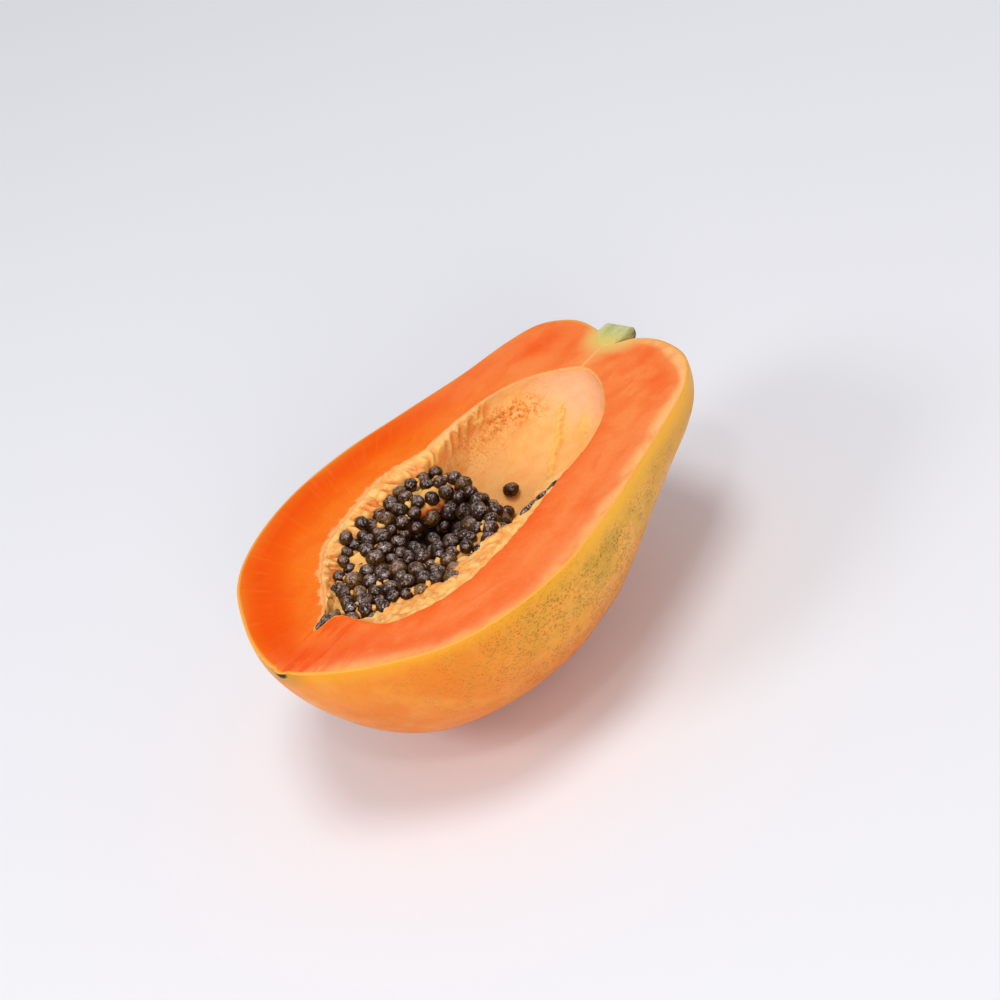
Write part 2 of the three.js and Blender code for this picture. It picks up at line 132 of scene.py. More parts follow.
# The hollow of the heap, where the seeds and the pulp are darkened with painted shade: its middle,
# and how far it reaches in the seeds, in the pulp and for the shreds, which keep out of it.
HOLLOW = {"at": (92, 1), "seeds": (20, 13), "pulp": (26, 16), "shreds": (27.3, 17.85)}
# How much painted shade a seed gets in the hollow and under the others.
SUNKEN = {"hollow": 0.6, "edge": (0.35, 1.1), "under": 4, "not_past": 125}
# The bed of pulp that the seeds lie in.
BED = {
    "from": 23.5, "inset": 0.4, "sink": 3.0, "rise": 2.4, "lump": 0.7, "lump_size": 3.4,
    "shown": 0.8, "hollow_edge": (0.65, 1.3), "ragged": 0.25, "ragged_size": 9.0,
    "by_wall": (0.5, 7.0), "bite": 1.5, "under": 4,
}
SHREDS = {"share": 0.22, "apart": (4.6, 7.6), "size": (0.9, 0.8), "up": (-0.3, 0.9), "ragged": 0.7}

# Stump of the stalk: x and radius from the point inside the flesh to the cut end.
STUMP_PROFILE = [(198.4, 0), (200, 3.32), (203.8, 6.64), (206.2, 8.3), (208.2, 7.6), (210.7, 7.6),
                 (211.61, 7.21), (212, 6.3), (212, 0)]
STUMP = {"flattened": 0.92, "shift": 1.4, "proud": 0.2, "lip": 0.35}
STUMP_RIBS = {"count": 5, "phase": 0.6, "height": 0.03, "rough": 0.04, "rough_size": 3}

# Relief that only the finished surface has, in millimetres.
EDGE = 0.3
CAVITY_EDGE = 0.5
RIND_WAVE = {"deep": 0.3, "size": 17, "fine_deep": 0.07, "fine_size": 5}
FACE_WAVE = {"deep": 0.16, "size": 17, "fine_deep": 0.05, "fine_size": 4}
FAR_SIDE = (2, 12)  # y where the lining's +Y side begins and is full
PLEATS = {"height": 1.3, "pitch": 5.4, "wander": 2.0, "deep": 1.3, "along": (32, 44, 106, 120),
          "cracked": (0.9, 2.4, 7, 12)}
TUFTS = {"height": 1.5, "pitch": 2.5, "slant": 0.8, "long": 7, "along": (108, 117, 152, 159),
         "under": (0.4, 1.8, 6, 10), "hollow": 0.7}
CRUMBS = {"size": 2.3, "height": 1.4, "along": (134, 158, 168, 175), "few": 0.35,
          "few_along": (112, 124, 134, 158), "under": (5, 8.5, 12, 19)}
# Raised streaks of pulp on the bare floor, each through a place at a slope, and a patch of it.
STREAKS = [
    {"height": 1.7, "yellow": 0.8, "at": (160, 5.6), "slope": 0.29, "reach": 1.7,
     "wander": 1.5, "bends": 9.0, "seed": 23, "along": (138, 152, 173, 178)},
    {"height": 1.5, "yellow": 0.6, "at": (150, -16), "slope": 0.5, "reach": 2.2,
     "wander": 2.0, "bends": 8.0, "seed": 24, "along": (128, 144, 158, 168)},
]
PATCH = {"height": 2.0, "at": (171, -3), "reach": (3.5, 3)}
SHELF_LUMPS = {"height": 1.2, "fine": 0.35, "drop": 0.7, "uneven": 0.8, "fades": (104, 126),
               "across": (2, 8), "under": (0.2, 1.6), "hollow": 0.75}
LINING_UNEVEN = {"height": 0.35, "size": 5.0}
RAGGED_RIM = {"height": 0.8, "size": 2.6, "under": 3, "along": (24, 34, 120, 150)}

# Fineness of the meshes.
COLUMNS = 360
RIND_ROWS = 60
LINING_ROWS = 136
FACE_ROWS = 26
BED_COLUMNS = 150
BED_ROWS = 100
CROWDING = 0.05
FACE_CROWDING = 0.09
LINING_CROWDING = 0.28
AROUND = 240  # length of the rim that the fibres are counted along
FAR_GAP = 30.0  # the gap to the far rim that rind and lining are given
MERGED = 0.004
SLIVER = 0.002

# Studio, in metres; the camera's place and directions are in the fruit's own frame.
CAMERA = {
    "lens": 86.4, "at": (-353.5, -595.4, 494.8),
    "forward": (0.5169, 0.6491, -0.5582), "up": (0.6111, 0.1768, 0.7715),
}
SKY = 0.42
LIGHTS = {
    "Key": ((-0.1, -0.2, 3.1), 1.1, 31.0, (1.0, 1.0, 1.0)),
    "Front": ((-1.2, -1.6, 0.8), 0.9, 14.0, (1.0, 0.99, 0.97)),
    "Fill": ((-1.6, 0.7, 1.4), 0.8, 11.5, (1.0, 0.99, 0.97)),
    "Glint": ((-0.9, -0.7, 1.9), 0.25, 3.5, (1.0, 1.0, 1.0)),
}
LIT_AT = Vector((0, 0, 0.04))
FLOOR_SIZE = 3.0


def along(rows, t):
    """A smooth curve through rows of places and half widths, in turn, for t from 0 to 1."""
    rows = np.asarray(rows, float)
    last = len(rows) - 1
    place = np.clip(np.asarray(t, float) * last, 0, last - 1e-9)
    i = place.astype(int)
    q = (place - i)[..., None]
    mirror = np.where(np.arange(rows.shape[1]) % 2 == 0, 1.0, -1.0)
    padded = np.vstack([rows[1] * mirror, rows, rows[-2] * mirror])
    before, here, there, after = (padded[i + k] for k in range(4))
    linear = there - before
    square = 2 * before - 5 * here + 4 * there - after
    cube = 3 * here - before - 3 * there + after
    return 0.5 * (2 * here + linear * q + square * q * q + cube * q ** 3)


def smoothstep(x, low, high):
    q = np.clip((np.asarray(x, float) - low) / (high - low), 0, 1)
    return q * q * (3 - 2 * q)


def stretch(x, begins, full, wanes, ends):
    """1 between `full` and `wanes`, easing to 0 at `begins` and at `ends`."""
    return smoothstep(x, begins, full) * (1 - smoothstep(x, wanes, ends))


def swell(x, middle, reach):
    """A soft hump, 1 high at its middle."""
    return np.exp(-(((x - middle) / reach) ** 2))


def mound(x, y, at, reach):
    """A soft hump of its own reach along x and across."""
    return swell(x, at[0], reach[0]) * swell(y, at[1], reach[1])


def draw(n):
    """A draw from 0 to 1: the same number always gives the same draw."""
    value = math.sin(n * 127.1) * 43758.5453
    return value - math.floor(value)


def sides(rows, t, turn):
    """x and half width of an outline, blended from its +Y side at turn 0 to its -Y side at pi."""
    left_x, left, right_x, right = np.moveaxis(along(rows, t), -1, 0)
    side = smoothstep((1 + np.cos(turn)) / 2, 0, 1)
    return right_x + (left_x - right_x) * side, right + (left - right) * side


def rind_points(t, turn):
    x, width = sides(RIM, t, turn)
    belly = BELLY["extra"] * swell(x, BELLY["at"], BELLY["reach"])
    depth = width * (BULB_DEPTH + (NECK_DEPTH - BULB_DEPTH) * smoothstep(x, *BEND) + belly)
    low, high = LOBE_HEIGHTS
    height = low + (high - low) * smoothstep(x, *LOBE_GROWS)
    lobe = 1 + height * np.cos(LOBES * (turn - LOBE_PHASE))
    nib = np.clip(1 - (width / NIB["radius"]) ** 2, 0, 1)
    nib = np.where(x < NIB["height"] + NIB["radius"], nib, 0)
    across = width * lobe * np.cos(turn)
    return np.stack([x - NIB["height"] * nib, across, -depth * lobe * np.sin(turn)], -1)


def cavity_depth(x):
    start, end = CAVITY_RIM[0][0], CAVITY_RIM[-1][0]
    at_tip = x < CAVITY_DEEP_AT
    reach = np.where(at_tip, CAVITY_DEEP_AT - start, end - CAVITY_DEEP_AT)
    off = np.clip(np.abs(x - CAVITY_DEEP_AT) / reach, 0, 1)
    tip, neck = CAVITY_ENDS["tip"], CAVITY_ENDS["neck"]
    shape = np.where(at_tip, (1 - off ** tip[0]) ** tip[1], (1 - off ** neck[0]) ** neck[1])
    return CAVITY_DEPTH * shape


def shelf_width(x, width):
    lobed = sum(by * swell(x, at, reach) for by, at, reach in SHELF["lobes"])
    grown = (SHELF["wide"] + lobed) * smoothstep(x, *SHELF["grows"])
    grown = grown - (SHELF["wide"] - SHELF["narrow"]) * smoothstep(x, *SHELF["narrows"])
    return np.minimum(grown, SHELF["most"] * width) * (1 - smoothstep(x, *SHELF["ends"]))


def bank_width(x, width):
    return np.minimum(BANK["wide"], BANK["most"] * width) * stretch(x, *BANK["along"])


def pulp_width(x, y, width):
    """Width of the soft pulp inside the rim, on the side where y is."""
    return np.where(y < 0, shelf_width(x, width), bank_width(x, width))


def wall_depth(x, y, width):
    """Depth of the cavity wall under the cut face, with its shelf and bank of pulp."""
    bare = cavity_depth(x) * np.sqrt(np.clip(1 - (y / width) ** 2, 0, 1))
    inward = width - np.abs(y)
    wide = pulp_width(x, y, width)
    edge = np.where(y < 0, SHELF["edge"], BANK["edge"])
    edge = np.minimum(np.minimum(edge, SHELF["edge_most"] * width), 2 * wide + 0.01)
    on_pulp = 1 - smoothstep((inward - wide) / edge, 0, 1)
    fall = np.where(y < 0, SHELF["fall"], BANK["fall"])
    return bare - np.maximum(0, bare - fall * inward) * on_pulp


def lean(x):
    """How far the middle of the cavity lies to +Y."""
    return LEAN["by"] * (1 - smoothstep(x, CAVITY_RIM[0][0], LEAN["to"]))


def cavity_points(t, turn):
    x, width = sides(CAVITY_RIM, t, turn)
    y = width * np.cos(turn)
    under = wall_depth(x, y, np.maximum(width, 0.01)) * (np.sin(turn) > 1e-9)
    return np.stack([x, y + lean(x), -under], -1)


CAVITY_CURVE = along(CAVITY_RIM, np.linspace(0, 1, 2001))


def cavity_width(x, y):
    """Half width of the cavity on the cut face, from its middle, on the side where y is."""
    side = 1 if y > 0 else 3
    return max(float(np.interp(x, CAVITY_CURVE[:, side - 1], CAVITY_CURVE[:, side])), 0.001)


def heap_top(x, y):
    """Height of the heap of seeds."""
    far = smoothstep(x, *HEAP["far_along"]) * smoothstep(y / cavity_width(x, y), *HEAP["far_across"])
    dip = HEAP["dip"] * mound(x, y, HEAP["dip_at"], HEAP["dip_reach"])
    bulge = HEAP["bulge"] * swell(y, HEAP["bulge_at"], HEAP["bulge_reach"])
    past = max(0.0, x - min(HEAP["crest"] + HEAP["crest_skew"] * y + bulge, HEAP["crest_most"]))
    return -HEAP["drop"] - HEAP["far_drop"] * float(far) - dip - HEAP["slope"] * past


# ---- Placing ----

MM = 0.001


def own_origin():
    """Where the fruit's own origin, at the tip on the cut face, lies in the part, in mm."""
    low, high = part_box("fruit")
    rims = rind_points(np.linspace(0, 1, 800)[:, None], np.array([0, np.pi]))[..., 1]
    across = (low.y + high.y) / 2 / MM - (rims.min() + rims.max()) / 2
    return Vector((low.x / MM + NIB["height"], across, high.z / MM))


ORIGIN = own_origin()
TO_PART = Matrix.Scale(MM, 4) @ Matrix.Translation(ORIGIN)


def srgb(red, green, blue):
    """A display colour, 0 to 255, as the linear one that shaders work in."""
    def linear(value):
        value /= 255
        return value / 12.92 if value <= 0.04045 else ((value + 0.055) / 1.055) ** 2.4
    return (linear(red), linear(green), linear(blue), 1.0)


def perlin(points, size, seed):
    """Smooth noise from -1 to 1 with features about `size` across, at each point."""
    shift = Vector((17.3 * seed, 5.1 * seed, -9.7 * seed))
    return np.array([noise.noise(Vector(point) / size + shift) for point in points])


def cell_distance(points, size, seed):
    """Distance from each point to the nearest of places scattered `size` apart, in that unit."""
    shift = Vector((11.9 * seed, -3.7 * seed, 7.3 * seed))
    return np.array([noise.voronoi(Vector(point) / size + shift)[0][0] for point in points])


# ---- Finishes ----

class Finish:
    """A material, its nodes added one call at a time. Any input takes a socket or a plain value."""

    def __init__(self, name, **surface):
        self.material = bpy.data.materials.new(name)
        self.material.use_nodes = True
        self.tree = self.material.node_tree
        self.surface = self.tree.nodes["Principled BSDF"]
        self.give(surface)
        coordinates = self.tree.nodes.new("ShaderNodeTexCoord").outputs["Object"]
        self.place = self.vector("MULTIPLY_ADD", coordinates, (1 / MM,) * 3, tuple(-ORIGIN))
        self.x, self.y, self.z = self.node("ShaderNodeSeparateXYZ", self.place).outputs

    def node(self, kind, *values, **settings):
        made = self.tree.nodes.new(kind)
        for setting, value in settings.items():
            setattr(made, setting, value)
        for socket, value in zip([s for s in made.inputs if s.enabled], values):
            self.feed(socket, value)
        return made

    def feed(self, socket, value):
        if isinstance(value, bpy.types.NodeSocket):
            self.tree.links.new(value, socket)
        elif value is not None:
            socket.default_value = value

    def start(self, share, first, second):
        """The ground colour: from the first to the second of two display colours, by the share."""
        self.colour = self.blend(share, srgb(*first), srgb(*second))

    def lay(self, colour, *shares):
        """Lays a display colour over the colour so far, by the product of the shares."""
        self.colour = self.blend(self.times(*shares), self.colour, srgb(*colour))

    def give(self, sockets):
        """Feeds the surface shader's own inputs."""
        for socket, value in sockets.items():
            self.feed(self.surface.inputs[socket.replace("_", " ")], value)

    def wear(self, **sockets):
        """The material, with the colour so far and what its shader's other inputs are fed."""
        self.give({"Base_Color": self.colour, **sockets})
        return self.material

    def vector(self, operation, *values):
        return self.node("ShaderNodeVectorMath", *values, operation=operation).outputs[0]

    def moved(self, *by):
        """Places moved along, so that a pattern on them lies elsewhere."""
        return self.vector("ADD", self.place, by)

    def drawn(self, share):
        """Places squeezed along the fruit, so that a pattern on them is drawn out along it."""
        return self.vector("MULTIPLY", self.place, (share, 1.0, 1.0))

    def reach(self, place):
        return self.node("ShaderNodeVectorMath", place, operation="LENGTH").outputs["Value"]

    def math(self, operation, *values):
        return self.node("ShaderNodeMath", *values, operation=operation).outputs[0]

    def plus(self, first, second):
        return self.math("ADD", first, second)

    def times(self, first, *others):
        for other in others:
            first = self.math("MULTIPLY", first, other)
        return first

    def joined(self, x, y, z=0.0):
        return self.node("ShaderNodeCombineXYZ", x, y, z).outputs[0]

    def attribute(self, name):
        return self.node("ShaderNodeAttribute", attribute_name=name).outputs["Fac"]

    def span(self, value, low, high, to_low=0.0, to_high=1.0):
        """Eases from to_low to to_high as the value goes from low to high."""
        return self.node("ShaderNodeMapRange", value, low, high, to_low, to_high,
                         interpolation_type="SMOOTHSTEP").outputs[0]

    def band(self, value, middle, reach):
        """1 where the value is at the middle, fading to 0 at reach on both sides."""
        return self.span(self.math("ABSOLUTE", self.math("SUBTRACT", value, middle)), reach, 0.0)

    def blend(self, share, first, second):
        return self.node("ShaderNodeMix", share, first, second, data_type="RGBA").outputs[2]

    def ramp(self, value, *stops):
        """Runs through display colours, each at its value."""
        made = self.node("ShaderNodeValToRGB", value)
        ends = made.color_ramp.elements
        while len(ends) < len(stops):
            ends.new(0.5)
        for end, (position, *colour) in zip(ends, stops):
            end.position = position
            end.color = srgb(*colour)
        return made.outputs[0]

    def grain(self, size, detail=2.0, place=None, warp=0.0):
        """Noise about 0.5, with features about `size` millimetres across."""
        made = self.node("ShaderNodeTexNoise", place or self.place, 1 / size, detail)
        self.feed(made.inputs["Distortion"], warp)
        return made.outputs[0]

    def cells(self, size, place=None):
        """Distance to the nearest of scattered points `size` millimetres apart."""
        return self.node("ShaderNodeTexVoronoi", place or self.place, 1 / size).outputs["Distance"]

    def relief(self, height, depth, under=None):
        """A bump of `depth` millimetres where the height goes from 0 to 1."""
        made = self.node("ShaderNodeBump", 1.0, depth * MM)
        self.feed(made.inputs["Height"], height)
        self.feed(made.inputs["Normal"], under)
        return made.outputs[0]


def flesh_finish():
    """Ripe flesh as the knife leaves it: deep orange in the wall, paler under the skin."""
    finish = Finish("papaya flesh", Subsurface_Weight=0.06, Subsurface_Scale=0.002,
                    Subsurface_Radius=(1, 0.3, 0.05), Specular_IOR_Level=0.05)
    x, y, lay, span, band, grain = finish.x, finish.y, finish.lay, finish.span, finish.band, finish.grain
    skin_gap, core_gap = finish.attribute("skin_gap"), finish.attribute("core_gap")
    # How far in from the skin, 0 to 1, with a slow drift.
    drift = finish.math("SUBTRACT", grain(26), 0.5)
    inward = finish.math("DIVIDE", skin_gap, finish.plus(finish.plus(skin_gap, core_gap), 0.01))
    inward = finish.plus(inward, finish.times(drift, 0.22))
    far = finish.ramp(inward, (0, 238, 126, 36), (0.1, 241, 98, 6), (0.24, 242, 82, 0),
                      (0.45, 247, 94, 0), (0.68, 250, 118, 20), (0.95, 250, 126, 32))
    near = finish.ramp(inward, (0, 253, 168, 84), (0.09, 252, 160, 92), (0.2, 251, 141, 80),
                       (0.34, 250, 128, 64), (0.55, 252, 138, 73), (0.82, 250, 122, 56),
                       (0.97, 247, 108, 44))
    finish.colour = finish.blend(span(y, -26, 20), near, far)
    # The neck is paler, with a redder lobe on each side of the stalk and a pale star under it.
    lay((253, 143, 76), span(x, 118, 178, 0, 0.75))
    lobes = finish.times(band(inward, 0.36, 0.36), span(x, 166, 190))
    lay((248, 92, 26), lobes, span(grain(17), 0.38, 0.6, 0.25, 1), 0.8)
    lay((253, 164, 94), band(y, 1.2, 13), span(x, 178, 192), 0.6)
    # Deepest round the tip, a pale band under the near side's skin, and red streaks at the tip.
    lay((238, 72, 0), span(x, 62, 14, 0, 0.5), band(inward, 0.45, 0.5))
    pale = span(inward, span(x, 172, 188, 0.23, 0.13), 0.05)
    lay((255, 194, 124), pale, span(x, 90, 140, 0.3, 0.9), span(y, -6, -20))
    flame = span(grain(4, 3, finish.drawn(0.22), warp=0.4), 0.47, 0.6)
    lay((238, 62, 6), flame, span(x, 46, 24), band(y, -4, 20), 0.6)
    # Blotches, and fibres that run from the skin to the seeds.
    lay((246, 88, 10), span(grain(9, 3, finish.drawn(0.5), warp=0.6), 0.42, 0.66), 0.35)
    pale_blotch = span(grain(7, 3, finish.moved(31, 7, 0)), 0.52, 0.78)
    lay((253, 152, 86), pale_blotch, span(y, 12, -14, 0.05, 0.32))
    combed = finish.joined(finish.attribute("around"), finish.times(skin_gap, 0.09))
    fibre = span(grain(1.6, 3, combed), 0.5, 0.75)
    lay((253, 132, 52), fibre, span(y, -10, 30, 0.1, 0.22))
    lay((240, 78, 18), span(grain(1.5, 4), 0.42, 0.7), 0.12)
    # The rim under the skin, and the edge of the lining, fuzzy beside the bank of pulp.
    rim = span(finish.plus(skin_gap, finish.times(drift, 0.8)), 1.9, 0.5)
    lay((254, 176, 74), rim, 0.9)
    fuzzy = finish.times(span(y, 2, 12), span(x, 122, 96), span(grain(3.4), 0.3, 0.7, 0.2, 1.7))
    core = finish.plus(core_gap, finish.times(fibre, 0.4))
    core = finish.math("DIVIDE", core, finish.plus(fuzzy, 0.4))
    lay((253, 186, 118), span(core, 2.6, 0.6, 0, 0.85))
    # Yellow round the stalk, and the pale vein that runs from it.
    lay((236, 193, 110), span(finish.reach(finish.moved(-206, -1, 0)), 17, 8, 0, 0.85))
    lay((252, 182, 110), band(y, 1.2, 1.5), span(x, 180, 186), 0.7)
    skin = finish.relief(grain(0.9, 3), 0.06, finish.relief(grain(2, 3, combed), 0.12))
    return finish.wear(Roughness=span(grain(5), 0.35, 0.65, 0.42, 0.56), Normal=skin)


def lining_finish():
    """The soft pale lining of the seed cavity, crumbly where seeds have come away."""
    finish = Finish("papaya lining", Roughness=0.5, Specular_IOR_Level=0.08)
    x, z, lay, span, grain = finish.x, finish.z, finish.lay, finish.span, finish.grain
    finish.start(span(grain(6, 4, warp=0.5), 0.36, 0.68), (255, 204, 124), (255, 172, 92))
    # Sandy on the bare floor, and pink towards the neck.
    lay((253, 186, 112), span(x, 112, 140, 0, 0.6))
    lay((255, 194, 154), span(x, 166, 180, 0, 0.8))
    drawn = finish.drawn(0.16)
    lay((253, 196, 100), span(grain(3.2, 3, drawn, warp=0.4), 0.5, 0.68), 0.3)
    # Wet orange patches between the lumps beside the seeds.
    lay((251, 152, 70), span(grain(3, 3, warp=0.8), 0.48, 0.62), span(x, 116, 100), 0.6)
    lay((255, 208, 104), finish.attribute("yellow"), 0.8)
    # Orange in the cracks and between the tufts and lumps: partly the pulp's own orange, partly painted
    # shade.
    lay((244, 112, 34), finish.attribute("hollow"), 0.8)
    # Orange flecks and brown specks among the crumbs.
    crumbly = finish.attribute("crumbly")
    lay((240, 134, 44), span(grain(1.8, 3), 0.46, 0.6), crumbly, 0.85)
    specks = finish.times(span(finish.cells(1), 0.42, 0.22), span(grain(4, 3), 0.4, 0.52))
    lay((204, 104, 30), specks, crumbly, 0.85)
    sandy = finish.times(finish.band(x, 140, 26), span(z, -26, -16))
    lay((232, 134, 58), sandy, span(grain(1, 3), 0.52, 0.62), 0.6)
    # A pale line just under the rim of the neck.
    lay((255, 194, 122), span(z, -2.2, -0.9), span(x, 118, 134), 0.85)
    skin = finish.relief(grain(4, 3, drawn, warp=0.5), 0.6)
    return finish.wear(Normal=finish.relief(grain(1.2, 4), 0.22, skin))


def rind_finish():
    """Thin waxy skin, ripened from green to orange, with fine dark specks."""
    finish = Finish("papaya rind", Specular_IOR_Level=0.12, Subsurface_Weight=0.05,
                    Subsurface_Scale=0.0015, Subsurface_Radius=(1, 0.4, 0.1))
    x, z, lay, span, band, grain = finish.x, finish.z, finish.lay, finish.span, finish.band, finish.grain
    # Orange below and at the ends, golden ochre under the cut along the middle.
    broad = grain(42, 3, warp=0.4)
    finish.start(span(broad, 0.36, 0.64), (236, 127, 36), (240, 143, 46))
    middle = band(x, 120, 108)
    ochre = finish.times(span(z, -46, -14), middle)
    lay((252, 187, 78), ochre, 0.9)
    lay((226, 170, 56), span(grain(13, 4, warp=0.8), 0.4, 0.6), ochre, 0.8)
    green = span(grain(19, 3, finish.moved(8, 90, 3), warp=0.6), 0.5, 0.66)
    lay((196, 156, 46), green, ochre, 0.6)
    golden = span(grain(17, 3, finish.moved(50, 9, 3)), 0.5, 0.68)
    lay((246, 172, 72), golden, 0.35)
    # The neck's side is mustard, and the skin under the seeds pinker.
    lay((228, 168, 58), span(x, 138, 176), span(z, -34, -8), 0.6)
    lay((238, 126, 62), span(z, -30, -56), span(broad, 0.42, 0.6), 0.5)
    # Specks: short dark dashes of two sizes along the fruit, with a haze where they crowd.
    drawn = finish.drawn(0.5)
    crowded = finish.times(span(grain(8, 3), 0.34, 0.54), band(x, 100, 118), span(z, -68, -38))
    lay((204, 142, 66), span(grain(1.1, 3, drawn), 0.46, 0.62), middle, 0.25)
    lay((188, 144, 50), span(grain(2.4, 4), 0.46, 0.62), crowded, 0.4)
    lay((146, 78, 8), span(finish.cells(0.8, drawn), 0.42, 0.26), crowded, 0.7)
    lay((122, 64, 6), span(finish.cells(1.7, drawn), 0.2, 0.12), crowded, 0.85)
    # A golden line under the cut, and the dry scar of the flower at the tip.
    edge = finish.plus(z, finish.times(grain(9), 5))
    edge = span(edge, span(x, 70, 120, -5, -9), 0.8)
    line = finish.blend(span(x, 60, 110), srgb(242, 164, 40), srgb(255, 184, 62))
    finish.colour = finish.blend(finish.times(edge, span(x, 60, 110, 0.6, 0.95)), finish.colour, line)
    scar = finish.reach(finish.vector("MULTIPLY", finish.moved(1.2, 0, 1), (1, 0.6, 1)))
    lay((190, 140, 50), span(scar, 9, 3, 0, 0.6))
    lay((58, 38, 20), span(scar, 2.6, 1.6))
    pores = finish.relief(finish.cells(1.1), 0.03, finish.relief(grain(7, 3), 0.25))
    return finish.wear(Roughness=span(grain(9, 3), 0.35, 0.65, 0.3, 0.46), Normal=pores)


def seed_finish():
    """Seeds in wet skins: amber on the side turned from the light, partly their own colour and partly
    painted light through the skin, with a crinkled grey bloom on top that is partly painted reflection.
    """
    finish = Finish("papaya seed", Roughness=0.5, Specular_IOR_Level=0.04, Coat_Roughness=0.06,
                    Coat_IOR=1.5)
    lay, span, grain = finish.lay, finish.span, finish.grain
    painted_shade, faces_light = finish.attribute("painted_shade"), finish.attribute("faces_light")
    finish.colour = finish.ramp(finish.attribute("tint"), (0, 46, 20, 4), (0.5, 72, 38, 10),
                                (0.8, 94, 58, 18), (1, 144, 98, 42))
    # Amber on the side turned from the light: partly the skins' own amber, partly painted light through
    # the wet skin.
    lay((116, 72, 26), span(faces_light, 0.8, 0.5), span(grain(2.6), 0.35, 0.6), 0.55)
    # Painted shade in the dark creases, the grey bloom, partly painted reflection, with painted glints
    # in its bright patches, and painted shade down in the heap.
    lay((20, 9, 3), span(grain(1.6, warp=1.2), 0.48, 0.57), 0.75)
    patches = span(grain(2.3, 3, finish.moved(5, 3, 9), warp=1), 0.46, 0.56)
    lay((158, 126, 110), span(faces_light, 0.78, 0.95), patches, 0.58)
    lay((218, 212, 216), span(faces_light, 0.84, 0.96), span(grain(1, warp=1.5), 0.57, 0.64), 0.65)
    lay((10, 5, 2), painted_shade, 0.8)
    return finish.wear(Normal=finish.relief(grain(1.5, warp=1.2), 0.3),
                       Coat_Normal=finish.relief(grain(1.9, 1, warp=0.8), 0.2),
                       Coat_Weight=span(painted_shade, 0, 1, 0.6, 0.45))


def pulp_finish():
    """Wet pulp under and between the seeds, pale by the wall and darkened with painted shade in the hollow
    of the heap.
    """
    finish = Finish("papaya pulp", Roughness=0.45, Specular_IOR_Level=0.12, Subsurface_Weight=0.15,
                    Subsurface_Scale=0.002, Subsurface_Radius=(1, 0.45, 0.12))
    uneven = finish.times(finish.math("SUBTRACT", finish.grain(3, 3), 0.5), 0.5)
    pulp_shade = finish.plus(finish.attribute("pulp_shade"), uneven)
    # From the pulp's own pale yellow and orange to painted shade, near black, deep in the heap.
    finish.colour = finish.ramp(pulp_shade, (0, 253, 192, 108), (0.28, 250, 160, 76),
                                (0.42, 206, 84, 26), (0.58, 74, 32, 11), (0.75, 14, 8, 4))
    return finish.wear(Normal=finish.relief(finish.grain(1.4, 3), 0.3))


def stalk_finish():
    """The stalk's green skin and the pale fibres that the knife went through."""
    finish = Finish("papaya stalk", Roughness=0.6)
    x, lay, span, grain = finish.x, finish.lay, finish.span, finish.grain
    drawn = finish.drawn(0.15)
    # The skin is yellow where it grows out of the fruit.
    finish.start(span(grain(1.5, 4, drawn), 0.4, 0.62), (120, 124, 62), (82, 84, 44))
    lay((160, 156, 92), span(grain(4, 3), 0.5, 0.66))
    lay((218, 178, 92), span(x, 210.5, 206, 0, 0.85))
    skin = finish.colour
    # So is the cut, which has dried brown at one corner.
    finish.start(span(grain(3.2, 3, drawn), 0.38, 0.66), (206, 204, 140), (178, 184, 114))
    lay((136, 150, 96), span(grain(3, 3), 0.56, 0.7, 0, 0.7))
    lay((224, 202, 104), span(x, 210, 201, 0, 0.95))
    dried = finish.plus(finish.y, finish.times(grain(3, 3), 6))
    lay((150, 138, 74), span(dried, 0.5, -2.5, 0, 0.8))
    finish.colour = finish.blend(span(finish.z, -0.5, -0.1), skin, finish.colour)
    return finish.wear(Normal=finish.relief(grain(1, 4, drawn), 0.3))


# ---- Building pieces ----

def added(name, data):
    """A new object in the scene."""
    made = bpy.data.objects.new(name, data)
    bpy.context.scene.collection.objects.link(made)
    return made


def meshed(bm, name, *materials):
    mesh = bpy.data.meshes.new(name)
    bm.to_mesh(mesh)
    bm.free()
    for material in materials:
        mesh.materials.append(material)
    return added(name, mesh)


def started(*attributes):
    """A new mesh in the making, with its attributes for the finishes."""
    bm = bmesh.new()
    for name in attributes:
        bm.verts.layers.float.new(name)
    return bm


def paint(bm, verts, name, values):
    layer = bm.verts.layers.float[name]
    for vert, value in zip(verts, np.broadcast_to(values, len(verts))):
        vert[layer] = value


def lay_grid(bm, columns, rows, shape, index=0):
    """A grid in the piece's finish of that index.

    From its vertices' two fractions, each from 0 to 1, `shape` gives their places and attributes.
    """
    made = bmesh.ops.create_grid(bm, x_segments=columns, y_segments=rows, size=0.5)["verts"]
    fractions = np.array([vert.co[:2] for vert in made]) + 0.5
    points, attributes = shape(fractions[:, 0], fractions[:, 1])
    for vert, point in zip(made, points):
        vert.co = point
    for name, values in attributes.items():
        paint(bm, made, name, values)
    for face in {face for vert in made for face in vert.link_faces}:
        face.material_index = index


def finished(bm, name, materials, slot, *nodes):
    """Puts a piece drawn in millimetres in its place in the part, in metres."""
    bmesh.ops.recalc_face_normals(bm, faces=bm.faces)
    bmesh.ops.transform(bm, matrix=TO_PART, verts=bm.verts)
    piece = meshed(bm, name, *materials)
    piece.data.shade_smooth()
    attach(piece, "root")
    if nodes:
        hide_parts(*nodes)


def station(fraction):
    """Columns crowd towards the middle of the fruit, where the lining is finest."""
    return fraction + CROWDING * np.sin(2 * np.pi * fraction)


def waves(points, wave, seed):
    """Slow waves with finer ones on them."""
    slow = wave["deep"] * perlin(points, wave["size"], seed)
    return slow + wave["fine_deep"] * perlin(points, wave["fine_size"], seed + 1)


# ---- The fruit ----

# Height of the flat spot that the half rests on, under the cut face.
FLAT = -(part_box("fruit")[1].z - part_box("fruit")[0].z) / MM


